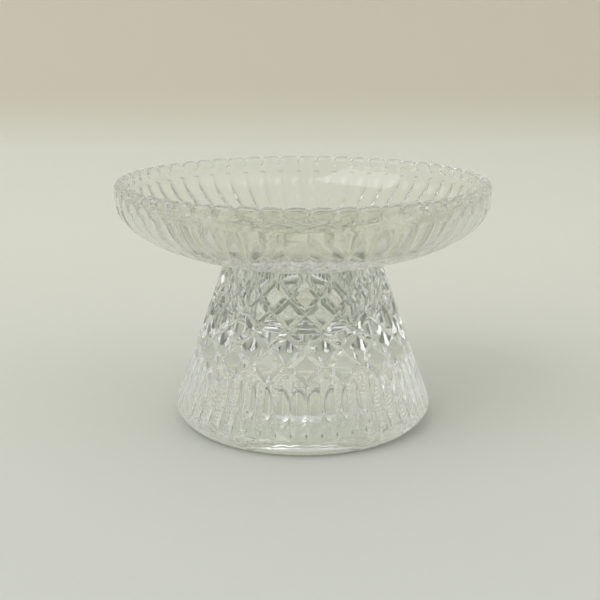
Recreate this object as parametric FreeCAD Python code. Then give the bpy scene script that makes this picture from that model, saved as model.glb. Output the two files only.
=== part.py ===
import FreeCAD, Part
import math
import os

# Candle plate: a shallow fluted glass dish on a flared glass pedestal.
# Lengths are in millimetres, angles in degrees, +Z is up.
# The origin is the middle of the ring that the foot stands on.
# The front of the piece, -Y, looks at a groove between two flutes.

os.makedirs("parts", exist_ok=True)

Vector = FreeCAD.Vector

# Repeats round the piece
diamond_count = 18
flutes_per_diamond = 3
flute_count = diamond_count * flutes_per_diamond
lattice_half_rows = 6

# Foot and skirt of the pedestal
foot_radius = 38.6
foot_swell = 3.3
foot_round_height = 7.0
foot_flare_share = 1.3
skirt_taper = 5.4
skirt_widest_radius = foot_radius + foot_swell
flute_end_height = 12.0
flute_fade_length = 9.0
arch_edge_length = 1.0
arch_rise = 1.5
arch_drop_below_node = 1.9
arch_lift_above_tip = 1.2

# Lattice of raised diamonds and neck of the pedestal
lattice_bottom_height = 21.2
lattice_height = 30.0
lattice_top_radius = 26.0
groove_depth = 0.9
diamond_flat_share = 0.62
neck_step = 0.8
neck_length = 2.3
lattice_bottom_radius = skirt_widest_radius - skirt_taper
lattice_top_height = lattice_bottom_height + lattice_height
neck_radius = lattice_top_radius - neck_step
pedestal_height = lattice_top_height + neck_length

# Domed hollow under the foot
foot_ring_width = 5.1
hollow_height = 12.0
hollow_mouth_radius = foot_radius - foot_ring_width

# Cup in the top of the pedestal, which the dish covers
cup_rim_width = 2.4
cup_taper = 2.4
cup_depth = 22.3
cup_corner_round = 6.0
cup_mouth_radius = neck_radius - cup_rim_width
cup_floor_radius = cup_mouth_radius - cup_taper
cup_floor_height = pedestal_height - cup_depth

# Clear joint ring between the pedestal and the dish
bond_thickness = 0.3
bond_edge_gap = 0.4
bond_inner_radius = cup_mouth_radius + bond_edge_gap
bond_outer_radius = neck_radius - bond_edge_gap

# Dish
joint_edge_step = 0.2
joint_radius = neck_radius + joint_edge_step
dish_radius = 59.7
underside_drop = 21.7
rim_band_height = 2.0
lobe_face_height = 2.0
rim_bead_radius = 1.85
lobe_bulge = 0.1
lobe_notch_depth = 0.95
lobe_flatness = 4
lobe_edge_length = 0.8
lobe_inner_fade = 2.0
plate_flute_depth = 0.7
plate_flute_flatness = 2
plate_flute_start_radius = 36.0
plate_flute_full_radius = 43.0
plate_flute_end_length = 0.8
floor_radius = 36.0
floor_thickness = 8.2

# How finely the curved faces are drawn
outline_step = 1.2
arc_steps = 60
skirt_rows = 30
columns_across = 8
patch_degree = 3

full_turn = 360.0
half_diamond = 0.5 * full_turn / diamond_count
half_flute = 0.5 * full_turn / flute_count
overrun = 5.0
same_height = 0.05


def on_circle(radius, angle, height):
    """Point at an angle counted from the front, -Y, towards +X."""
    turn = math.radians(angle)
    return Vector(radius * math.sin(turn), -radius * math.cos(turn), height)


def angle_of(point):
    return math.degrees(math.atan2(point.x, -point.y))


def between(start, end, share):
    return start + (end - start) * share


def smooth_step(value):
    """Rises softly from 0 to 1 while the value goes from 0 to 1."""
    t = min(max(value, 0.0), 1.0)
    return t * t * (3.0 - 2.0 * t)


def turned(face, angle):
    copy = face.copy()
    copy.rotate(Vector(0, 0, 0), Vector(0, 0, 1), angle)
    return copy


def mirrored(face):
    return face.mirror(Vector(0, 0, 0), Vector(1, 0, 0))


def triangle(a, b, c):
    return Part.Face(Part.makePolygon([a, b, c, a]))


def quad(a, b, c, d):
    return [triangle(a, b, c), triangle(a, c, d)]


def clamped_knots(pole_count):
    spans = pole_count - patch_degree
    knots = [float(place) for place in range(spans + 1)]
    return knots, [patch_degree + 1] + [1] * (spans - 1) + [patch_degree + 1]


def patch(grid):
    """Smooth face that follows a grid of points; its border follows only the border points."""
    u_knots, u_repeats = clamped_knots(len(grid))
    v_knots, v_repeats = clamped_knots(len(grid[0]))
    surface = Part.BSplineSurface()
    surface.buildFromPolesMultsKnots(
        grid, u_repeats, v_repeats, u_knots, v_knots, False, False, patch_degree, patch_degree
    )
    return surface.toShape()


def level_face(faces, height):
    """Flat face that closes the loop of edges at a height."""
    loop = []
    for face in faces:
        for edge in face.Edges:
            box = edge.BoundBox
            if abs(box.ZMin - height) < same_height and abs(box.ZMax - height) < same_height:
                loop.append(edge)
    return Part.Face(Part.Wire(Part.__sortEdges__(loop)))


def closed_solid(faces):
    shell = Part.makeShell(faces)
    shell.sewShape()
    solid = Part.Solid(Part.Shell(shell.Faces))
    if solid.Volume < 0:
        solid.reverse()
    return solid


def ring_of(sector, count):
    faces = []
    for place in range(count):
        for face in sector:
            faces.append(turned(face, place * full_turn / count))
    return faces


# Pedestal


def foot_curve(share):
    """Radius of the rounded foot: leaves the floor outwards and runs into the cone."""
    cone_slope = (lattice_bottom_radius - skirt_widest_radius) / (lattice_bottom_height - foot_round_height)
    middle = between(foot_radius, skirt_widest_radius, smooth_step(share))
    leave = foot_flare_share * share * (1.0 - share) ** 2
    arrive = cone_slope * share * share * (share - 1.0)
    return middle + foot_round_height * (leave + arrive)


def cone_radius(height):
    """Radius of the diamond tops and of the flutes' crests at a height."""
    if height >= lattice_bottom_height:
        share = (height - lattice_bottom_height) / (lattice_top_height - lattice_bottom_height)
        return between(lattice_bottom_radius, lattice_top_radius, share)
    if height >= foot_round_height:
        share = (height - foot_round_height) / (lattice_bottom_height - foot_round_height)
        return between(skirt_widest_radius, lattice_bottom_radius, share)
    return foot_curve(height / foot_round_height)


def row_height(row):
    return between(lattice_bottom_height, lattice_top_height, row / lattice_half_rows)


def node_angle(row, column):
    """Angle where grooves cross; every second row is turned by half a diamond."""
    return half_diamond * (2 * column + row % 2)


def node(row, column):
    height = row_height(row)
    return on_circle(cone_radius(height) - groove_depth, node_angle(row, column), height)


def flat_corner(centre_angle, row, side_share, rise_share):
    """Corner of a diamond's flat top, which touches the cone along its middle."""
    turn = half_diamond * side_share
    height = row_height(row + rise_share)
    radius = cone_radius(height) / math.cos(math.radians(turn))
    return on_circle(radius, centre_angle + turn, height)


def diamond_faces(row):
    """One raised diamond: its flat top and the slopes down to the grooves."""
    centre = node_angle(row + 1, 0)
    flat = diamond_flat_share
    left = node(row, -(row % 2))
    right = node(row, 1 - row % 2)
    down = node(row - 1, 0)
    flat_left = flat_corner(centre, row, -flat, 0)
    flat_right = flat_corner(centre, row, flat, 0)
    flat_down = flat_corner(centre, row, 0, -flat)
    faces = [triangle(flat_left, flat_down, flat_right)]
    faces += quad(left, down, flat_down, flat_left)
    faces += quad(down, right, flat_right, flat_down)
    if row < lattice_half_rows:
        up = node(row + 1, 0)
        flat_up = flat_corner(centre, row, 0, flat)
        faces.append(triangle(flat_left, flat_right, flat_up))
        faces += quad(right, up, flat_up, flat_right)
        faces += quad(up, left, flat_left, flat_up)
    return faces


def neck_faces():
    """Plain neck above the lattice, from its upper edge to the joint."""
    row = lattice_half_rows
    centre = node_angle(row + 1, 0)
    flat_left = flat_corner(centre, row, -diamond_flat_share, 0)
    flat_right = flat_corner(centre, row, diamond_flat_share, 0)
    edge = [node(row, 0), flat_left, flat_right, node(row, 1)]
    faces = []
    for low_left, low_right in zip(edge[:-1], edge[1:]):
        high_left = on_circle(neck_radius, angle_of(low_left), pedestal_height)
        high_right = on_circle(neck_radius, angle_of(low_right), pedestal_height)
        faces += quad(low_left, low_right, high_right, high_left)
    return faces


def zigzag_point(angle):
    """Point of the lowest groove, which climbs from a tip at 0 to a node."""
    tip = node(0, 0)
    high = node(1, 0)
    turn = math.radians(angle)
    across = Vector(math.cos(turn), math.sin(turn), 0)
    share = -tip.dot(across) / (high - tip).dot(across)
    return tip + (high - tip) * share


def skirt_point(angle, crest_angle, drop):
    """Point of the fluted skirt; drop is 0 at the lattice and 1 at the foot."""
    top = zigzag_point(angle)
    if drop <= 0:
        return top
    height = top.z * (1.0 - drop)
    across = (angle - crest_angle) / half_flute
    arch_top = row_height(0) + arch_lift_above_tip
    if crest_angle > half_diamond - half_flute:
        arch_top = row_height(1) - arch_drop_below_node
    arch_height = arch_top - arch_rise * across * across
    shown = smooth_step((arch_height - height) / arch_edge_length)
    faded = smooth_step((flute_end_height - height) / flute_fade_length)
    flute = groove_depth * across * across * (1.0 - faded)
    return on_circle(cone_radius(height) - between(groove_depth, flute, shown), angle, height)


def skirt_faces():
    """Three half flutes, from a tip to a node, and their mirror images."""
    faces = []
    for step in range(flutes_per_diamond):
        crest_angle = half_flute * (step + 1 - step % 2)
        grid = []
        for column in range(columns_across + 1):
            angle = half_flute * (step + column / columns_across)
            line = []
            for row in range(skirt_rows + 1):
                line.append(skirt_point(angle, crest_angle, row / skirt_rows))
            grid.append(line)
        face = patch(grid)
        faces += [face, mirrored(face)]
    return faces


def hollow():
    """Ball whose upper cap is the dome under the foot, inside the ring it stands on."""
    across = hollow_mouth_radius * hollow_mouth_radius
    up = hollow_height * hollow_height
    ball_radius = 0.5 * (across + up) / hollow_height
    return Part.makeSphere(ball_radius, Vector(0, 0, hollow_height - ball_radius))


def cup():
    """Slightly tapered cup with a rounded edge round its flat floor."""
    wide_radius = cup_mouth_radius + overrun * cup_taper / cup_depth
    base = Vector(0, 0, cup_floor_height)
    cone = Part.makeCone(cup_floor_radius, wide_radius, cup_depth + overrun, base)
    floor_edges = [edge for edge in cone.Edges if edge.BoundBox.ZMax < cup_floor_height + same_height]
    return cone.makeFillet(cup_corner_round, floor_edges)


def pedestal():
    sector = neck_faces() + skirt_faces()
    for row in range(1, lattice_half_rows + 1):
        sector += diamond_faces(row)
    faces = ring_of(sector, diamond_count)
    faces.append(level_face(faces, 0.0))
    faces.append(level_face(faces, pedestal_height))
    return closed_solid(faces).cut([hollow(), cup()]).Solids[0]


# Joint


def bond():
    """Flat clear ring on the rim of the cup."""
    base = Vector(0, 0, pedestal_height)
    disc = Part.makeCylinder(bond_outer_radius, bond_thickness, base)
    middle = Part.makeCylinder(bond_inner_radius, bond_thickness + overrun, base - Vector(0, 0, 0.5 * overrun))
    return disc.cut(middle).Solids[0]


# Dish

joint_height = pedestal_height + bond_thickness
joint_share = joint_radius / dish_radius
underside_top = joint_height + underside_drop * math.sqrt(1.0 - joint_share * joint_share)
lobe_bottom = underside_top + rim_band_height
bead_height = lobe_bottom + lobe_face_height
floor_height = joint_height + floor_thickness
inner_wall_radius = dish_radius - 2.0 * rim_bead_radius


def evenly(points):
    """The same line with its points about one step apart."""
    line = Part.makePolygon(points)
    return line.discretize(Number=max(3, round(line.Length / outline_step) + 1))


def arc_points(centre_radius, centre_height, radius_across, radius_up, start, end):
    points = []
    for step in range(arc_steps + 1):
        turn = math.radians(between(start, end, step / arc_steps))
        radius = centre_radius + radius_across * math.cos(turn)
        points.append(Vector(radius, 0, centre_height + radius_up * math.sin(turn)))
    return points


def dish_outline():
    """Section of the dish from the joint round the rim to the floor.

    Each entry is a point of the section, how deep the groove between two flutes
    or two lobes is there, how far the lobe bulges, and how flat its middle is.
    """
    start = -math.degrees(math.acos(joint_share))
    underside = evenly(arc_points(0, underside_top, dish_radius, underside_drop, start, 0))
    band = evenly([Vector(dish_radius, 0, underside_top), Vector(dish_radius, 0, bead_height)])
    bead_centre = dish_radius - rim_bead_radius
    bead = evenly(arc_points(bead_centre, bead_height, rim_bead_radius, rim_bead_radius, 0, 180))
    wall_across = inner_wall_radius - floor_radius
    wall_up = bead_height - floor_height
    wall = evenly(arc_points(floor_radius, bead_height, wall_across, wall_up, 0, -90))
    outline = []
    for point in underside[:-1]:
        grown = (point.x - plate_flute_start_radius) / (plate_flute_full_radius - plate_flute_start_radius)
        left = (underside_top - point.z) / plate_flute_end_length
        depth = plate_flute_depth * smooth_step(grown) * smooth_step(left)
        outline.append((point, depth, 0.0, plate_flute_flatness))
    for point in band[:-1] + bead[:-1]:
        shown = smooth_step((point.z - lobe_bottom) / lobe_edge_length)
        outline.append((point, lobe_notch_depth * shown, lobe_bulge * shown, lobe_flatness))
    for point in wall:
        left = smooth_step(1.0 - (bead_height - point.z) / lobe_inner_fade)
        outline.append((point, lobe_notch_depth * left, lobe_bulge * left, lobe_flatness))
    return outline


def dish():
    outline = dish_outline()
    last = len(outline) - 1
    grid = []
    for column in range(columns_across + 1):
        across = 2.0 * column / columns_across - 1.0
        line = []
        for place, (point, depth, bulge, flatness) in enumerate(outline):
            travel = outline[min(place + 1, last)][0] - outline[max(place - 1, 0)][0]
            outwards = Vector(travel.z, 0, -travel.x).normalize()
            moved = point + outwards * (bulge - depth * abs(across) ** flatness)
            line.append(on_circle(moved.x, half_flute * (1.0 + across), moved.z))
        grid.append(line)
    faces = ring_of([patch(grid)], flute_count)
    faces.append(level_face(faces, joint_height))
    faces.append(level_face(faces, floor_height))
    return closed_solid(faces)


pieces = {"plate": dish(), "pedestal": pedestal(), "bond": bond()}

for name, shape in pieces.items():
    shape.exportStep("parts/" + name + ".step")
    box = shape.BoundBox
    print(name, shape.ShapeType, len(shape.Solids), "solid, valid", shape.isValid(), "closed", shape.isClosed())
    print("  faces", len(shape.Faces), "volume cm3", round(shape.Volume / 1000.0, 2))
    print("  radius", round(box.XMax, 2), "height", round(box.ZMin, 2), "to", round(box.ZMax, 2))
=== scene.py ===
# %% [markdown]
# # A pressed-glass candle plate
#
# The object is two glass mouldings: a shallow fluted dish with a scalloped rim,
# and a flared pedestal with a lattice of raised diamonds above a reeded skirt.
# A thin clear layer joins them. The script models the two mouldings finer than
# the plain solids do, gives all three pieces glass, and lights them softly.

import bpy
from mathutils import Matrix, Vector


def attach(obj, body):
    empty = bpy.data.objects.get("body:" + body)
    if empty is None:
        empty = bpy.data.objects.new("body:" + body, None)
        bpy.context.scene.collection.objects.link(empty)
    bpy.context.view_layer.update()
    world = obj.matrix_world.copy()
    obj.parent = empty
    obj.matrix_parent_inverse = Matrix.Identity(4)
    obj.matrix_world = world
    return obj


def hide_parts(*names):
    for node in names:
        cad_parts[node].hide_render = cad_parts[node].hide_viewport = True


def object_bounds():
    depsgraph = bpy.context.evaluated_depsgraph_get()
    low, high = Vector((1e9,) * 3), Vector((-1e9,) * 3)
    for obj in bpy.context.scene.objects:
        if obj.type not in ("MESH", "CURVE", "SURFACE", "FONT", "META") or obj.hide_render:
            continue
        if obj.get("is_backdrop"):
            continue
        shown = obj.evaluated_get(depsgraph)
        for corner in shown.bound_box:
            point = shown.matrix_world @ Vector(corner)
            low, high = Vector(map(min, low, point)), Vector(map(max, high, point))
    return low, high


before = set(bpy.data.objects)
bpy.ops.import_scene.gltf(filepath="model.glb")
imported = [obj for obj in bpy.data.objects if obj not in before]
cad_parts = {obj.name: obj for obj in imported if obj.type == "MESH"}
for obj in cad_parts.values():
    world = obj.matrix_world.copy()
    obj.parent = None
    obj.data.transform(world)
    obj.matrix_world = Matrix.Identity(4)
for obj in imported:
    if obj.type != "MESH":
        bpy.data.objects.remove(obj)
frame_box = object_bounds()
print("frame", [round(value * 1000, 1) for corner in frame_box for value in corner], "mm")

# %% [markdown]
# ## The lattice of diamonds
#
# On the real foot, crossing V grooves leave raised diamonds with flat tops. The
# quickest way there is a cone of eighteen by three cells: poking each cell draws
# both diagonals, and dissolving the cells' own edges leaves only diamonds. Each
# one is then inset and raised, which makes its flat top and four slopes at once.

# %% Helpers for selecting
import math

import bmesh
import bpy
from mathutils import Vector

MM = 0.001
FULL_TURN = 2 * math.pi
SEAM_WELD = 0.005 * MM


def edited():
    return bmesh.from_edit_mesh(bpy.context.object.data)


def pick(kind, test):
    """Selects the vertices, edges or faces of the edited mesh that pass a test."""
    bpy.ops.mesh.select_mode(type={"verts": "VERT", "edges": "EDGE", "faces": "FACE"}[kind])
    bpy.ops.mesh.select_all(action="DESELECT")
    mesh = edited()
    chosen = [part for part in getattr(mesh, kind) if test(part)]
    for part in chosen:
        part.select_set(True)
    mesh.select_flush_mode()
    bmesh.update_edit_mesh(bpy.context.object.data)
    return len(chosen)


def new_piece(name):
    """An empty mesh object at the origin, open in edit mode."""
    bpy.ops.object.select_all(action="DESELECT")
    bpy.ops.object.add(type="MESH", enter_editmode=True, location=(0, 0, 0))
    piece = bpy.context.object
    piece.name = name
    piece.data.name = name
    return piece


# %% Sizes of the lattice
DIAMOND_COUNT = 18
HALF_DIAMOND = FULL_TURN / DIAMOND_COUNT / 2
FLUTE_COUNT = 54
HALF_FLUTE = FULL_TURN / FLUTE_COUNT / 2
ROWS = 3
LATTICE_BOTTOM = 21.2 * MM
LATTICE_TOP = 51.2 * MM
LATTICE_BOTTOM_RADIUS = 36.5 * MM
LATTICE_TOP_RADIUS = 26.0 * MM
GROOVE_DEPTH = 0.9 * MM
DIAMOND_SLOPE = 1.35 * MM
EDGE_ROUND = 0.14 * MM
RIBS_PER_HALF_FLUTE = 6
ROUND_SEGMENTS = 2
ROW_SLACK = 0.25
LOWEST_SHARE = 0.3
FLATTEN_PASSES = 20
row_step = (LATTICE_TOP - LATTICE_BOTTOM) / ROWS
lattice_middle = 0.5 * (LATTICE_TOP + LATTICE_BOTTOM)
ribs_per_half_diamond = RIBS_PER_HALF_FLUTE * FLUTE_COUNT // DIAMOND_COUNT
print("a diamond is", round(row_step / MM, 2), "mm tall")

# %% The cone and its grooves
lattice = new_piece("lattice_work")
bpy.ops.mesh.primitive_cone_add(
    vertices=DIAMOND_COUNT,
    radius1=LATTICE_BOTTOM_RADIUS - GROOVE_DEPTH,
    radius2=LATTICE_TOP_RADIUS - GROOVE_DEPTH,
    depth=LATTICE_TOP - LATTICE_BOTTOM,
    end_fill_type="NOTHING",
    location=(0, 0, lattice_middle),
)


def climb(edge):
    """How far apart in height the ends of an edge are."""
    return abs(edge.verts[0].co.z - edge.verts[1].co.z)


pick("edges", lambda edge: climb(edge) > row_step)
bpy.ops.mesh.subdivide(number_cuts=ROWS - 1)
bpy.ops.mesh.select_all(action="SELECT")
bpy.ops.mesh.poke()


def is_crossing(vertex):
    """True for the middle of a poked cell."""
    rows_up = (vertex.co.z - LATTICE_BOTTOM) / row_step
    return abs(rows_up - round(rows_up)) > ROW_SLACK


pick("verts", is_crossing)
outwards = 1 / math.cos(HALF_DIAMOND)
bpy.ops.transform.resize(value=(outwards, outwards, 1), center_override=(0, 0, 0))
pick("edges", lambda edge: not edge.is_boundary and not any(map(is_crossing, edge.verts)))
bpy.ops.mesh.dissolve_edges(use_verts=False)
pick("faces", lambda face: face.calc_center_median().z < LATTICE_BOTTOM + LOWEST_SHARE * row_step)
bpy.ops.mesh.delete(type="FACE")
bpy.ops.mesh.select_all(action="SELECT")
bpy.ops.mesh.normals_make_consistent(inside=False)
print("diamonds", len(edited().faces))

# %% Raise the diamonds
pick("faces", lambda face: len(face.verts) == 4)
bpy.ops.mesh.inset(thickness=DIAMOND_SLOPE, depth=GROOVE_DEPTH, use_individual=True)
bpy.ops.mesh.face_make_planar(repeat=FLATTEN_PASSES)
pick("faces", lambda face: len(face.verts) == 3)
bpy.ops.mesh.inset(thickness=DIAMOND_SLOPE, depth=GROOVE_DEPTH, use_boundary=False)
print("faces of the lattice", len(edited().faces))

# %% [markdown]
# The lowest grooves form a zigzag, and the skirt hangs from it. Its edges get as
# many points as the skirt has ribs there, so that the two can be welded later.
# All other edges are rounded a little, as fire polishing does to pressed glass.

# %% Points for the skirt, and rounded edges
zigzag_edges = pick("edges", lambda edge: edge.is_boundary and climb(edge) > LOWEST_SHARE * row_step)
bpy.ops.mesh.subdivide(number_cuts=ribs_per_half_diamond - 1)
pick("edges", lambda edge: not edge.is_boundary)
bpy.ops.mesh.bevel(offset=EDGE_ROUND, segments=ROUND_SEGMENTS, affect="EDGES", clamp_overlap=True)
print("zigzag edges", zigzag_edges, "rounded faces", len(edited().faces))

# %% [markdown]
# ## Neck and cup
#
# Above the lattice a short plain neck leads to the joint. The pedestal's top holds
# a cup, like the ones that take a small candle: through the upper diamonds a calm,
# pale space shows, with a level edge at its bottom. The neck is pulled up from the
# lattice, and the cup's section is spun, so both stay true circles.

# %% Pull up the neck
NECK_RADIUS = 25.2 * MM
NECK_EDGE = 0.25 * MM
JOINT_HEIGHT = 53.5 * MM
SURFACE_GAP = 0.01 * MM
neck_top = JOINT_HEIGHT - SURFACE_GAP


def round_ring(radius, height):
    """Makes the selected ring a level circle."""
    bpy.ops.transform.resize(value=(1, 1, 0), center_override=(0, 0, height))
    bpy.ops.transform.tosphere(value=1, center_override=(0, 0, height))
    ring = [vertex.co.xy.length for vertex in edited().verts if vertex.select]
    scale = radius / ring[0]
    bpy.ops.transform.resize(value=(scale, scale, 1), center_override=(0, 0, height))


def pull_ring(radius, height):
    """Extrudes the selected ring to a level circle of another size and height."""
    bpy.ops.mesh.extrude_edges_move(TRANSFORM_OT_translate={"value": (0, 0, 0)})
    round_ring(radius, height)


pick("edges", lambda edge: edge.is_boundary and edge.verts[0].co.z > LATTICE_TOP - MM)
pull_ring(NECK_RADIUS, neck_top - NECK_EDGE)
pull_ring(NECK_RADIUS - NECK_EDGE, neck_top)
bpy.ops.object.mode_set(mode="OBJECT")
print("lattice and neck", len(lattice.data.vertices), "vertices")

# %% Sizes of the cup and the line of its section
CUP_MOUTH_RADIUS = 22.8 * MM
CUP_FLOOR_RADIUS = 20.4 * MM
CUP_FLOOR = 31.2 * MM
CUP_CORNER = 6.0 * MM
CUP_WALL_STEPS = 8
CUP_CORNER_STEPS = 8
CUP_FLOOR_STEPS = 4
CUP_COLUMNS = 144


def between(start, end, share):
    return start + (end - start) * share


def cup_section():
    """Points down the wall, round the corner and over the floor to the axis."""
    lean = math.atan2(CUP_MOUTH_RADIUS - CUP_FLOOR_RADIUS, JOINT_HEIGHT - CUP_FLOOR)
    corner_middle = CUP_FLOOR_RADIUS - CUP_CORNER * (1 - math.sin(lean)) / math.cos(lean)
    corner = []
    for step in range(CUP_CORNER_STEPS + 1):
        turn = between(-lean, -FULL_TURN / 4, step / CUP_CORNER_STEPS)
        along = corner_middle + CUP_CORNER * math.cos(turn)
        corner.append(Vector((along, 0, CUP_FLOOR + CUP_CORNER * (1 + math.sin(turn)))))
    mouth = Vector((CUP_MOUTH_RADIUS, 0, neck_top))
    axis = Vector((0, 0, CUP_FLOOR))
    wall = [mouth.lerp(corner[0], step / CUP_WALL_STEPS) for step in range(CUP_WALL_STEPS)]
    floor = [corner[-1].lerp(axis, (step + 1) / CUP_FLOOR_STEPS) for step in range(CUP_FLOOR_STEPS)]
    return wall + corner + floor


# %% [markdown]
# A section is drawn as by hand: one vertex, extruded from point to point.

# %% Spin the cup
def draw_line(points):
    """One vertex, extruded along a line of points."""
    bpy.ops.mesh.select_mode(type="VERT")
    bpy.ops.mesh.select_all(action="DESELECT")
    bpy.ops.mesh.primitive_plane_add(size=MM, location=(0, 0, 0))
    bpy.ops.mesh.merge(type="CENTER")
    bpy.ops.transform.translate(value=points[0])
    for start, end in zip(points, points[1:]):
        bpy.ops.mesh.extrude_vertices_move(TRANSFORM_OT_translate={"value": end - start})


cup = new_piece("cup_work")
draw_line(cup_section())
bpy.ops.mesh.select_all(action="SELECT")
bpy.ops.mesh.spin(steps=CUP_COLUMNS, angle=FULL_TURN, center=(0, 0, 0), axis=(0, 0, 1))
bpy.ops.mesh.select_all(action="SELECT")
bpy.ops.mesh.remove_doubles(threshold=SEAM_WELD)
bpy.ops.object.mode_set(mode="OBJECT")
print("cup", len(cup.data.polygons), "faces")

# %% [markdown]
# ## The reeded skirt and the foot
#
# Below the zigzag the glass is pressed into fifty-four reeds. Each starts under a
# small arch and fades out above the rounded foot, which stands on a ring round a
# domed hollow. One narrow slice repeats, so half a slice is drawn as ribs,
# the ribs are bridged, and the slice is mirrored and copied round. That keeps each
# groove exactly under its diamond, where sculpting a whole cone would not.

# %% Sizes of the skirt
FOOT_RADIUS = 38.6 * MM
WIDEST_RADIUS = 41.9 * MM
FOOT_ROUND = 7.0 * MM
FOOT_FLARE = 1.3
FLUTE_END = 12.0 * MM
FLUTE_FADE = 9.0 * MM
ARCH_EDGE = 1.0 * MM
ARCH_RISE = 1.5 * MM
TIP_ARCH_TOP = 22.4 * MM
NODE_ARCH_TOP = 24.3 * MM


def smooth_step(value):
    share = min(max(value, 0.0), 1.0)
    return share * share * (3 - 2 * share)


def surface_radius(height):
    """Radius of the reeds' crests, and of the rounded foot below them."""
    cone_slope = (LATTICE_BOTTOM_RADIUS - WIDEST_RADIUS) / (LATTICE_BOTTOM - FOOT_ROUND)
    if height >= FOOT_ROUND:
        return WIDEST_RADIUS + cone_slope * (height - FOOT_ROUND)
    share = height / FOOT_ROUND
    leave = FOOT_FLARE * share * (1 - share) ** 2
    arrive = cone_slope * share * share * (share - 1)
    return between(FOOT_RADIUS, WIDEST_RADIUS, smooth_step(share)) + FOOT_ROUND * (leave + arrive)


# %% Place of a point on the skirt
def on_circle(radius, turn, height):
    """Point at an angle counted from the front, -Y, towards +X."""
    return Vector((radius * math.sin(turn), -radius * math.cos(turn), height))


tip = on_circle(LATTICE_BOTTOM_RADIUS - GROOVE_DEPTH, 0, LATTICE_BOTTOM)
node_height = LATTICE_BOTTOM + 0.5 * row_step
node_radius = between(tip.xy.length, LATTICE_TOP_RADIUS - GROOVE_DEPTH, 0.5 / ROWS)
groove_crossing = on_circle(node_radius, HALF_DIAMOND, node_height)


def zigzag_point(turn):
    """Point of the lowest groove, which climbs from a tip at 0 to a crossing."""
    across = Vector((math.cos(turn), math.sin(turn), 0))
    share = -tip.dot(across) / (groove_crossing - tip).dot(across)
    return tip.lerp(groove_crossing, share)


def skirt_point(turn, crest_turn, drop):
    """Point of the reeded skirt; drop is 0 at the zigzag and 1 at the table."""
    top = zigzag_point(turn)
    if drop <= 0:
        return top
    height = top.z * (1 - drop)
    across = (turn - crest_turn) / HALF_FLUTE
    arch_top = TIP_ARCH_TOP if crest_turn < 2 * HALF_FLUTE else NODE_ARCH_TOP
    arch_height = arch_top - ARCH_RISE * across * across
    shown = smooth_step((arch_height - height) / ARCH_EDGE)
    faded = smooth_step((FLUTE_END - height) / FLUTE_FADE)
    flute = GROOVE_DEPTH * across * across * (1 - faded)
    return on_circle(surface_radius(height) - between(GROOVE_DEPTH, flute, shown), turn, height)


# %% Heights of the rows, and the foot ring with its hollow
HOLLOW_RADIUS = 33.5 * MM
HOLLOW_HEIGHT = 12.0 * MM
HOLLOW_STEPS = 14
HOLLOW_EDGE_SHARE = 0.985
HOLLOW_MIDDLE_SHARE = 0.03
# Radius and height in mm, from the foot's rounded edge to the hollow.
FOOT_RING = [(38.35, 0.05), (37.8, 0.0), (36.0, 0.0), (34.0, 0.0)]
ARCH_ROWS = 18
ARCH_ROW_STEP = 0.0125
REED_ROWS = 6
REEDS_TO = 0.54
FADE_ROWS = 12
FADE_TO = 0.78
FOOT_ROWS = 9
FOOT_TO = 0.992


def drop_shares():
    """Close rows at the arches and where the reeds fade, wider ones between."""
    arches = [ARCH_ROW_STEP * row for row in range(ARCH_ROWS)]
    reeds = [between(arches[-1], REEDS_TO, row / REED_ROWS) for row in range(1, REED_ROWS + 1)]
    fades = [between(REEDS_TO, FADE_TO, row / FADE_ROWS) for row in range(1, FADE_ROWS + 1)]
    foot = [between(FADE_TO, FOOT_TO, row / FOOT_ROWS) for row in range(1, FOOT_ROWS + 1)]
    return arches + reeds + fades + foot


def foot_points(turn):
    """Points under the foot, from its outer edge nearly to the axis."""
    ball = (HOLLOW_RADIUS ** 2 + HOLLOW_HEIGHT ** 2) / (2 * HOLLOW_HEIGHT)
    line = [on_circle(radius * MM, turn, height * MM) for radius, height in FOOT_RING]
    for step in range(HOLLOW_STEPS):
        share = between(HOLLOW_EDGE_SHARE, HOLLOW_MIDDLE_SHARE, step / (HOLLOW_STEPS - 1))
        across = HOLLOW_RADIUS * share
        line.append(on_circle(across, turn, HOLLOW_HEIGHT - ball + math.sqrt(ball ** 2 - across ** 2)))
    return line


# %% Draw the ribs of half a slice
TURN_SLACK = 0.001
skirt = new_piece("skirt_work")
rib_turns = [HALF_DIAMOND * rib / ribs_per_half_diamond for rib in range(ribs_per_half_diamond + 1)]
for turn in rib_turns:
    crest_turn = HALF_FLUTE if turn < 2 * HALF_FLUTE - TURN_SLACK else 3 * HALF_FLUTE
    skirt_line = [skirt_point(turn, crest_turn, drop) for drop in drop_shares()]
    draw_line(skirt_line + foot_points(turn))
print("ribs", len(rib_turns), "with", len(edited().verts) // len(rib_turns), "points each")

# %% Bridge them, and copy the slice round
RIB_SLACK = 0.1
POLE_REACH = 2 * MM


def turn_of(vertex):
    return math.atan2(vertex.co.x, -vertex.co.y)


def bridge_ribs(turns):
    """Faces between each rib and the next."""
    slack = RIB_SLACK * (turns[1] - turns[0])
    for low, high in zip(turns, turns[1:]):
        pick("verts", lambda vertex: low - slack < turn_of(vertex) < high + slack)
        bpy.ops.mesh.bridge_edge_loops()


def copy_round(count):
    """Adds the slice's mirror image, copies both round the axis and welds them."""
    bpy.ops.mesh.select_all(action="SELECT")
    bpy.ops.mesh.duplicate()
    bpy.ops.transform.resize(value=(-1, 1, 1), center_override=(0, 0, 0))
    bpy.ops.mesh.flip_normals()
    bpy.ops.mesh.select_all(action="SELECT")
    bpy.ops.mesh.spin(
        steps=count - 1,
        dupli=True,
        angle=FULL_TURN * (count - 1) / count,
        center=(0, 0, 0),
        axis=(0, 0, 1),
    )
    bpy.ops.mesh.select_all(action="SELECT")
    bpy.ops.mesh.remove_doubles(threshold=SEAM_WELD)


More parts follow.
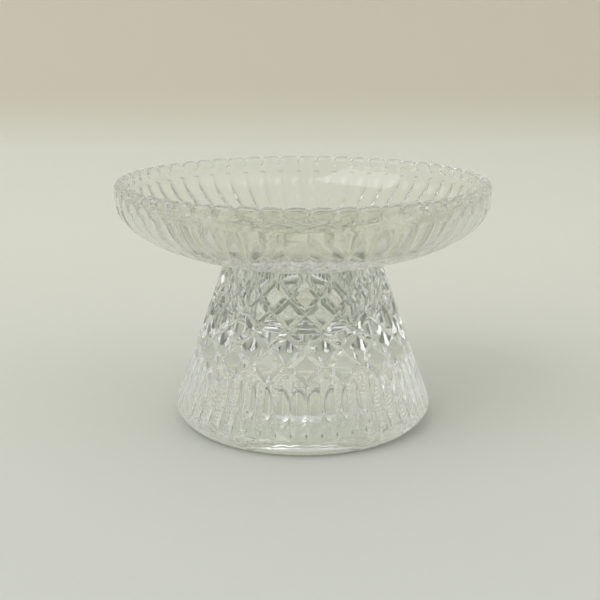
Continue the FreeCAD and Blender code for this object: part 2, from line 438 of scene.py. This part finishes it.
def close_pole(height):
    """Draws the small open ring round the axis together at a height."""
    pole = Vector((0, 0, height))
    pick("edges", lambda edge: edge.is_boundary and (edge.verts[0].co - pole).length < POLE_REACH)
    ring_height = next(vertex.co.z for vertex in edited().verts if vertex.select)
    bpy.ops.mesh.extrude_edges_move(TRANSFORM_OT_translate={"value": (0, 0, height - ring_height)})
    bpy.ops.mesh.merge(type="CENTER")


bridge_ribs(rib_turns)
copy_round(DIAMOND_COUNT)
close_pole(HOLLOW_HEIGHT)
bpy.ops.object.mode_set(mode="OBJECT")
print("skirt", len(skirt.data.polygons), "faces")

# %% [markdown]
# The three parts of the pedestal become one mesh. The zigzag's two borders are
# welded, the flat rim round the cup is filled, and the cusps between the reeds
# get the small round that a mould's cutter leaves.

# %% Weld the pedestal
ZIGZAG_WELD = 0.24 * MM
CORNER_WELD = 0.5 * MM
CORNER_REACH = 0.7


def open_edges():
    return sum(not edge.is_manifold for edge in edited().edges)


bpy.ops.object.select_all(action="DESELECT")
for part in (lattice, cup, skirt):
    part.select_set(True)
bpy.context.view_layer.objects.active = lattice
bpy.ops.object.join()
pedestal = lattice
pedestal.name = pedestal.data.name = "cut_pedestal"
bpy.ops.object.mode_set(mode="EDIT")


def near_corner(vertex):
    """True for a border point at a tip or a crossing of the zigzag."""
    steps = turn_of(vertex) / rib_turns[-1]
    return vertex.is_boundary and abs(steps - round(steps)) * ribs_per_half_diamond < CORNER_REACH


pick("verts", lambda vertex: near_corner(vertex) and vertex.co.z < node_height + MM)
bpy.ops.mesh.remove_doubles(threshold=CORNER_WELD)
pick("edges", lambda edge: edge.is_boundary and edge.verts[0].co.z < node_height + MM)
bpy.ops.mesh.remove_doubles(threshold=ZIGZAG_WELD)
pick("edges", lambda edge: edge.is_boundary and edge.verts[0].co.z > node_height + MM)
bpy.ops.mesh.fill(use_beauty=True)
print("edges still open", open_edges())

# %% Round the cusps and finish the pedestal
CUSP_ROUND = 0.16 * MM
CUSP_ANGLE = math.radians(20)
SMOOTH_ANGLE = math.radians(30)
INNERMOST_GROOVE = 20 * MM
GROOVE_SLACK = 0.01


def in_groove(vertex):
    """True where a point lies on the line between two reeds or flutes."""
    steps = turn_of(vertex) / (2 * HALF_FLUTE)
    return vertex.co.xy.length > INNERMOST_GROOVE and abs(steps - round(steps)) < GROOVE_SLACK


def is_cusp(edge):
    return edge.is_manifold and edge.calc_face_angle() > CUSP_ANGLE and all(map(in_groove, edge.verts))


def finish_piece(piece, node):
    """Turns the faces outwards, shades them and hands the piece to the frame."""
    bpy.ops.mesh.select_all(action="SELECT")
    bpy.ops.mesh.normals_make_consistent(inside=False)
    print(piece.name, "open edges", open_edges())
    bpy.ops.object.mode_set(mode="OBJECT")
    bpy.ops.object.shade_smooth_by_angle(angle=SMOOTH_ANGLE)
    piece.modifiers.new("even_shading", "WEIGHTED_NORMAL").keep_sharp = True
    bpy.ops.object.modifier_apply(modifier="even_shading")
    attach(piece, "root")
    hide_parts(node)
    piece.data.calc_loop_triangles()
    print(piece.name, len(piece.data.loop_triangles), "triangles")


cusps = pick("edges", lambda edge: is_cusp(edge) and edge.verts[0].co.z < LATTICE_BOTTOM)
bpy.ops.mesh.bevel(offset=CUSP_ROUND, segments=ROUND_SEGMENTS, affect="EDGES")
print("cusp edges", cusps)
finish_piece(pedestal, "pedestal")

# %% [markdown]
# ## The dish
#
# The dish repeats fifty-four times: a flute under the bowl, and above a plain band
# a lobe of the rim. Its section is one closed line from the axis under the bowl,
# round the bead of the rim and over the floor back to the axis. Each rib is that
# line with the flute's and the lobe's depth taken off at its own angle, so the
# scalloped edge needs no cutting, and thick and thin glass follow by themselves.

# %% Sizes of the dish
JOINT_TOP = 53.8 * MM
JOINT_RADIUS = 25.4 * MM
DISH_RADIUS = 59.65 * MM
UNDERSIDE_DROP = 21.7 * MM
BAND = 2.0 * MM
LOBE_FACE = 1.92 * MM
LOBE_EDGE = 0.8 * MM
BEAD = 1.85 * MM
NOTCH_DEPTH = 0.95 * MM
LOBE_FLATNESS = 4
INNER_FADE = 2.0 * MM
FLUTE_DEPTH = 0.7 * MM
FLUTE_FLATNESS = 2
FLUTE_START_RADIUS = 36.0 * MM
FLUTE_FULL_RADIUS = 43.0 * MM
FLUTE_END_LENGTH = 0.8 * MM
FLOOR_RADIUS = 36.0 * MM
FLOOR_HEIGHT = 62.0 * MM
POLE_RADIUS = 1.0 * MM
FINE_FROM_OUTSIDE = -9
FINE_FROM_INSIDE = -8
FLAT_STEPS = 5
BOWL_STEPS = 34
BOWL_FINE_STEPS = 10
BAND_STEPS = 4
LOBE_EDGE_STEPS = 5
LOBE_FACE_STEPS = 3
BEAD_STEPS = 16
INSIDE_FINE_STEPS = 6
INSIDE_STEPS = 28
underside_top = JOINT_TOP + UNDERSIDE_DROP * math.sqrt(1 - (JOINT_RADIUS / DISH_RADIUS) ** 2)
lobe_bottom = underside_top + BAND
bead_height = lobe_bottom + LOBE_FACE
print("bead centre at", round(bead_height / MM, 2), "mm")

# %% Section of the dish
def arc(middle, across, up, start, end, steps):
    """Points of an ellipse, angles in degrees, without the last point."""
    line = []
    for step in range(steps):
        turn = math.radians(between(start, end, step / steps))
        line.append((middle[0] + across * math.cos(turn), middle[1] + up * math.sin(turn)))
    return line


def straight(start, end, steps):
    """Points along a straight line, without the last point."""
    shares = [step / steps for step in range(steps)]
    return [tuple(between(first, last, share) for first, last in zip(start, end)) for share in shares]


def underside_line():
    """From the axis out under the bowl; its last steps are finer, for the flutes' ends."""
    first = -math.degrees(math.acos(JOINT_RADIUS / DISH_RADIUS))
    base = (0, underside_top)
    bottom = JOINT_TOP + SURFACE_GAP
    flat = straight((POLE_RADIUS, bottom), (JOINT_RADIUS, bottom), FLAT_STEPS)
    bowl = arc(base, DISH_RADIUS, UNDERSIDE_DROP, first, FINE_FROM_OUTSIDE, BOWL_STEPS)
    edge = arc(base, DISH_RADIUS, UNDERSIDE_DROP, FINE_FROM_OUTSIDE, 0, BOWL_FINE_STEPS)
    return flat + bowl + edge


def rim_line():
    """Up the plain band and the lobe's face, and over the bead."""
    levels = [
        (underside_top, BAND_STEPS),
        (lobe_bottom, LOBE_EDGE_STEPS),
        (lobe_bottom + LOBE_EDGE, LOBE_FACE_STEPS),
        (bead_height, 0),
    ]
    band = []
    for (low, steps), (high, _) in zip(levels, levels[1:]):
        band += straight((DISH_RADIUS, low), (DISH_RADIUS, high), steps)
    return band + arc((DISH_RADIUS - BEAD, bead_height), BEAD, BEAD, 0, 180, BEAD_STEPS)


def inner_line():
    """Down the inner wall, a quarter ellipse, and over the floor to the axis."""
    across = DISH_RADIUS - 2 * BEAD - FLOOR_RADIUS
    up = bead_height - FLOOR_HEIGHT
    middle = (FLOOR_RADIUS, bead_height)
    upper = arc(middle, across, up, 0, FINE_FROM_INSIDE, INSIDE_FINE_STEPS)
    wall = upper + arc(middle, across, up, FINE_FROM_INSIDE, -90, INSIDE_STEPS)
    pole = (POLE_RADIUS, FLOOR_HEIGHT)
    return wall + straight((FLOOR_RADIUS, FLOOR_HEIGHT), pole, FLAT_STEPS + 1) + [pole]


# %% How deep the grooves are along the section
def groove_of_flute(radius, height):
    """Deepens outwards from the bowl's middle, and ends just below the band."""
    grown = (radius - FLUTE_START_RADIUS) / (FLUTE_FULL_RADIUS - FLUTE_START_RADIUS)
    left = (underside_top - height) / FLUTE_END_LENGTH
    return FLUTE_DEPTH * smooth_step(grown) * smooth_step(left)


def dish_stations():
    """Section points, each with its groove depth and how flat the ridge beside it is."""
    stations = [(point, groove_of_flute(*point), FLUTE_FLATNESS) for point in underside_line()]
    for point in rim_line():
        shown = smooth_step((point[1] - lobe_bottom) / LOBE_EDGE)
        stations.append((point, NOTCH_DEPTH * shown, LOBE_FLATNESS))
    for point in inner_line():
        left = smooth_step(1 - (bead_height - point[1]) / INNER_FADE)
        stations.append((point, NOTCH_DEPTH * left, LOBE_FLATNESS))
    return stations


def dish_rib(stations, turn):
    """The section moved in by the groove at an angle between two crests."""
    across = 1 - turn / HALF_FLUTE
    last = len(stations) - 1
    line = []
    for place, (point, depth, flatness) in enumerate(stations):
        before, after = stations[max(place - 1, 0)][0], stations[min(place + 1, last)][0]
        outwards = Vector((after[1] - before[1], before[0] - after[0])).normalized()
        moved = Vector(point) - outwards * depth * abs(across) ** flatness
        line.append(on_circle(moved.x, turn, moved.y))
    return line


# %% Draw, bridge and copy the dish
DISH_RIBS = 6
stations = dish_stations()
plate = new_piece("fluted_dish")
dish_turns = [HALF_FLUTE * rib / DISH_RIBS for rib in range(DISH_RIBS + 1)]
for turn in dish_turns:
    draw_line(dish_rib(stations, turn))
bridge_ribs(dish_turns)
copy_round(FLUTE_COUNT)
close_pole(FLOOR_HEIGHT)
close_pole(JOINT_TOP + SURFACE_GAP)
cusps = pick("edges", is_cusp)
bpy.ops.mesh.bevel(offset=CUSP_ROUND, segments=ROUND_SEGMENTS, affect="EDGES")
print("points in the section", len(stations), "cusp edges", cusps)
finish_piece(plate, "plate")

# %% [markdown]
# ## Glass
#
# Pressed soda glass is clear, but not perfectly even: its mould leaves a faint
# ripple, the thick parts look slightly grey-green, and the foot's ring is dulled
# where it stands. A Principled shader with full transmission gives the refraction.
# Small changes of tint, polish and bump over the surface give the rest, and they
# follow Object coordinates, so they stay in place on the glass.

# %% Helpers for shaders
class Value:
    """One output in a shader tree; adding and multiplying it make Math nodes."""

    def __init__(self, tree, socket):
        self.tree = tree
        self.socket = socket

    def combine(self, operation, first, second):
        node = self.tree.nodes.new("ShaderNodeMath")
        node.operation = operation
        for place, item in enumerate((first, second)):
            if isinstance(item, Value):
                self.tree.links.new(item.socket, node.inputs[place])
            else:
                node.inputs[place].default_value = item
        return Value(self.tree, node.outputs[0])

    def __add__(self, other):
        return self.combine("ADD", self, other)

    def __radd__(self, other):
        return self.combine("ADD", other, self)

    def __mul__(self, other):
        return self.combine("MULTIPLY", self, other)

    def __rmul__(self, other):
        return self.combine("MULTIPLY", other, self)


class Finish:
    """A new material, or a tree given instead, and the one method that adds nodes."""

    def __init__(self, name, tree=None):
        if tree is None:
            self.material = bpy.data.materials.new(name)
            self.material.use_nodes = True
            tree = self.material.node_tree
        self.tree = tree
        self.tree.nodes.clear()

    def node(self, kind, settings=None, sockets=None, output=0):
        node = self.tree.nodes.new("ShaderNode" + kind)
        for name, setting in (settings or {}).items():
            setattr(node, name, setting)
        for name, item in (sockets or {}).items():
            if isinstance(item, Value):
                self.tree.links.new(item.socket, node.inputs[name])
            else:
                node.inputs[name].default_value = item
        return Value(self.tree, node.outputs[output]) if len(node.outputs) else None


# %% Noise, tint and the glass itself
DRIFT_SCALE = 55.0
RIPPLE_SCALE = 160.0
FINE_RIPPLE_SCALE = 520.0
POLISH_SCALE = 900.0
WEAR_SCALE = 1500.0
COARSE_SHARE = 0.7
FINE_SHARE = 0.3
RIPPLE_HEIGHT = 0.00004
RIPPLE_STRENGTH = 0.6
POLISH_DRIFT = 0.02
WEAR_DEPTH = 0.3
GLASS_IOR = 1.5


def noise(finish, scale, detail=2.0):
    place = finish.node("TexCoord", output="Object")
    return finish.node("TexNoise", sockets={"Vector": place, "Scale": scale, "Detail": detail})


def tint(finish, factor, first, second):
    sockets = {0: factor, 6: (*first, 1), 7: (*second, 1)}
    return finish.node("Mix", {"data_type": "RGBA"}, sockets, output=2)


def height_mask(finish, low, high):
    """Falls from 1 to 0 while the height over the table goes from low to high."""
    place = finish.node("TexCoord", output="Object")
    height = finish.node("SeparateXYZ", sockets={0: place}, output="Z")
    sockets = {"Value": height, "From Min": low, "From Max": high, "To Min": 1.0, "To Max": 0.0}
    return finish.node("MapRange", {"interpolation_type": "SMOOTHSTEP"}, sockets)


def glass(name, clear, deep, polish, wear=None):
    """Glass whose tint and polish drift a little; wear dulls the lowest edge."""
    finish = Finish(name)
    drift = noise(finish, DRIFT_SCALE)
    fine_ripple = FINE_SHARE * noise(finish, FINE_RIPPLE_SCALE, 1.0)
    ripple = COARSE_SHARE * noise(finish, RIPPLE_SCALE) + fine_ripple
    roughness = polish + POLISH_DRIFT * noise(finish, POLISH_SCALE, 3.0)
    if wear:
        scratches = noise(finish, WEAR_SCALE, 4.0)
        roughness = roughness + WEAR_DEPTH * height_mask(finish, *wear) * scratches
    sockets = {"Strength": RIPPLE_STRENGTH, "Distance": RIPPLE_HEIGHT, "Height": ripple}
    bump = finish.node("Bump", sockets=sockets)
    sockets = {
        "Base Color": tint(finish, drift, clear, deep),
        "Roughness": roughness,
        "Normal": bump,
        "IOR": GLASS_IOR,
        "Transmission Weight": 1.0,
    }
    shader = finish.node("BsdfPrincipled", sockets=sockets)
    finish.node("OutputMaterial", sockets={"Surface": shader})
    return finish.material


# %% Give the three pieces their glass
def dress(piece, material):
    piece.data.materials.clear()
    piece.data.materials.append(material)


POLISH = 0.004
JOINT_POLISH = 0.08
FOOT_WEAR = (0.0, 0.0012)
dish_glass = glass("pressed_glass_dish", (0.93, 0.935, 0.9), (0.9, 0.905, 0.86), POLISH)
foot_glass = glass("pressed_glass_foot", (0.92, 0.933, 0.905), (0.885, 0.903, 0.87), POLISH, FOOT_WEAR)
joint_clear = glass("clear_joint", (0.98, 0.98, 0.955), (0.93, 0.93, 0.88), JOINT_POLISH)
dress(plate, dish_glass)
dress(pedestal, foot_glass)
dress(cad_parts["bond"], joint_clear)
print("materials", [piece.data.materials[0].name for piece in (plate, pedestal)])

# %% [markdown]
# ## Stage, light and camera
#
# Clear glass shows what is round it, so the stage matters as much as the glass: a
# pale floor that curves up into a backdrop painted slightly darker and browner as shade,
# a pale daylight world, and two large soft lamps. For the diffuse light on the floor
# alone, the world is darker near the horizon. The floor lies a hair below the foot,
# because glass that shares a face with it would turn black.

# %% The sweep
FLOOR_GAP = 0.1 * MM
STAGE_WIDTH = 8.0
WALL_AT = 1.3
WALL_HEIGHT = 3.0
CURVE = 0.5
CURVE_STEPS = 24
bpy.ops.object.select_all(action="DESELECT")
floor_middle = (0, WALL_AT - STAGE_WIDTH / 2, -FLOOR_GAP)
bpy.ops.mesh.primitive_plane_add(size=STAGE_WIDTH, location=floor_middle)
sweep = bpy.context.object
sweep.name = "paper_sweep"
bpy.ops.object.transform_apply(location=True)
bpy.ops.object.mode_set(mode="EDIT")
pick("edges", lambda edge: min(vertex.co.y for vertex in edge.verts) > WALL_AT - CURVE)
bpy.ops.mesh.extrude_edges_move(TRANSFORM_OT_translate={"value": (0, 0, WALL_HEIGHT)})


def is_fold(edge):
    """True for the edge where the floor meets the wall."""
    return all(vertex.co.y > WALL_AT - CURVE and vertex.co.z < CURVE for vertex in edge.verts)


pick("edges", is_fold)
bpy.ops.mesh.bevel(offset=CURVE, segments=CURVE_STEPS, affect="EDGES")
bpy.ops.mesh.select_all(action="SELECT")
bpy.ops.mesh.normals_make_consistent(inside=False)
bpy.ops.object.mode_set(mode="OBJECT")
bpy.ops.object.shade_smooth()
sweep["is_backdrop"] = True
print("sweep", len(sweep.data.polygons), "faces")

# %% [markdown]
# The paper is palest in the middle. Its cooler, darker front is painted shade, and so is
# its darker, browner tone where it curves up, which makes the soft horizon. High up,
# where only the glass looks, it is pale again.

# %% Paper for the sweep, with painted shade
# Where the painted shade lies: on the rising backdrop, ending high up, and on the front of the floor.
BACKDROP_SHADE_RISE = (0.78, 1.04)
SHADE_ENDS_HIGH = (0.2, 0.4)
FRONT_SHADE_FADE = (-0.2, 0.4)
SPECKLE_SCALE = 900.0
PAPER_ROUGHNESS = 0.75
paper = Finish("pale_paper_with_painted_shade")
speckle = noise(paper, SPECKLE_SCALE, 3.0)
middle_colour = tint(paper, speckle, (0.765, 0.772, 0.688), (0.745, 0.752, 0.665))
# The cooler, darker front tint is painted shade on the floor.
front_painted_shade_colour = tint(paper, speckle, (0.675, 0.69, 0.63), (0.655, 0.67, 0.61))
# The darker, browner tint of the rising backdrop is painted shade.
backdrop_painted_shade_colour = tint(paper, speckle, (0.635, 0.6, 0.49), (0.615, 0.58, 0.47))
paper_place = paper.node("TexCoord", output="Object")
depth = paper.node("SeparateXYZ", sockets={0: paper_place}, output="Y")


def ramp(finish, value, low, high):
    """Rises smoothly from 0 to 1 while the value goes from low to high."""
    sockets = {"Value": value, "From Min": low, "From Max": high}
    return finish.node("MapRange", {"interpolation_type": "SMOOTHSTEP"}, sockets)


# The backdrop's painted shade rises towards the back and ends high up.
backdrop_shade_share = ramp(paper, depth, *BACKDROP_SHADE_RISE) * height_mask(paper, *SHADE_ENDS_HIGH)
# The painted shade in front fades out towards the pale middle of the floor.
sockets = {0: ramp(paper, depth, *FRONT_SHADE_FADE), 6: front_painted_shade_colour, 7: middle_colour}
near_colour_with_painted_shade = paper.node("Mix", {"data_type": "RGBA"}, sockets, output=2)
sockets = {0: backdrop_shade_share, 6: near_colour_with_painted_shade, 7: backdrop_painted_shade_colour}
paper_colour_with_painted_shade = paper.node("Mix", {"data_type": "RGBA"}, sockets, output=2)
sockets = {"Base Color": paper_colour_with_painted_shade, "Roughness": PAPER_ROUGHNESS}
paper_shader = paper.node("BsdfPrincipled", sockets=sockets)
paper.node("OutputMaterial", sockets={"Surface": paper_shader})
dress(sweep, paper.material)

# %% World and lamps
HORIZON_TOP = 0.45
SKY_STRENGTH = 0.81
world = bpy.data.worlds.new("even_daylight")
bpy.context.scene.world = world
world.use_nodes = True
sky = Finish("sky", world.node_tree)
direction = sky.node("TexCoord", output="Generated")
rise = sky.node("SeparateXYZ", sockets={0: direction}, output="Z")
brightness = ramp(sky, rise, 0.0, HORIZON_TOP)
# The pale background shows directly, in the glass and through it. Only diffuse light
# comes from the darker horizon.
background = sky.node("LightPath", output="Is Camera Ray")
background += sky.node("LightPath", output="Is Glossy Ray")
background += sky.node("LightPath", output="Is Transmission Ray")
sky_colour = tint(sky, brightness + background, (0.16, 0.165, 0.155), (0.88, 0.88, 0.87))
daylight = sky.node("Background", sockets={"Color": sky_colour, "Strength": SKY_STRENGTH})
sky.node("OutputWorld", sockets={"Surface": daylight})


def lamp(name, place, width, height, power):
    """A soft rectangular lamp aimed at the foot of the object."""
    bpy.ops.object.select_all(action="DESELECT")
    bpy.ops.object.light_add(type="AREA", location=place)
    light = bpy.context.object
    light.name = name
    light.rotation_euler = (-Vector(place)).to_track_quat("-Z", "Y").to_euler()
    light.data.shape = "RECTANGLE"
    light.data.size = width
    light.data.size_y = height
    light.data.energy = power


lamp("window_left", (-2.2, -1.6, 2.4), 3.2, 3.0, 50)
lamp("fill_right", (2.4, -1.6, 2.4), 3.0, 3.0, 13)

# %% [markdown]
# The camera's place comes from a fit to three ellipses of the photograph: the rim,
# the seam between dish and foot, and the foot.

# %% Camera at the photograph's angle
CAMERA_REACH = 0.3418
CAMERA_SHIFT = -0.0009
CAMERA_HEIGHT = 0.1267
LOOK_DOWN = 14.43
TURN_ASIDE = -1.5
LENS = 64.39
SENSOR_WIDTH = 36
camera_turn = math.radians(TURN_ASIDE)
camera_tilt = math.radians(90 - LOOK_DOWN)
sine, cosine = math.sin(camera_turn), math.cos(camera_turn)
camera_x = CAMERA_REACH * sine + CAMERA_SHIFT * cosine
camera_y = CAMERA_SHIFT * sine - CAMERA_REACH * cosine
camera_place = (camera_x, camera_y, CAMERA_HEIGHT)
bpy.ops.object.camera_add(location=camera_place, rotation=(camera_tilt, 0, camera_turn))
camera = bpy.context.object
camera.data.lens = LENS
camera.data.sensor_width = SENSOR_WIDTH
bpy.context.scene.camera = camera

# %% Colour and light paths
# Glass in front of glass needs many bends of a ray before it reaches the stage.
GLASS_BOUNCES = 24
MIRROR_BOUNCES = 12
scene = bpy.context.scene
scene.view_settings.view_transform = "Standard"
scene.cycles.max_bounces = GLASS_BOUNCES
scene.cycles.transmission_bounces = GLASS_BOUNCES
scene.cycles.glossy_bounces = MIRROR_BOUNCES

# %% Print the frame's box and the visual box
visual_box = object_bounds()
boxes = {
    "frame": [list(corner) for corner in frame_box],
    "visual": [list(corner) for corner in visual_box],
}
for name, box in boxes.items():
    print(name, "box in mm", [[round(value / MM, 2) for value in corner] for corner in box])
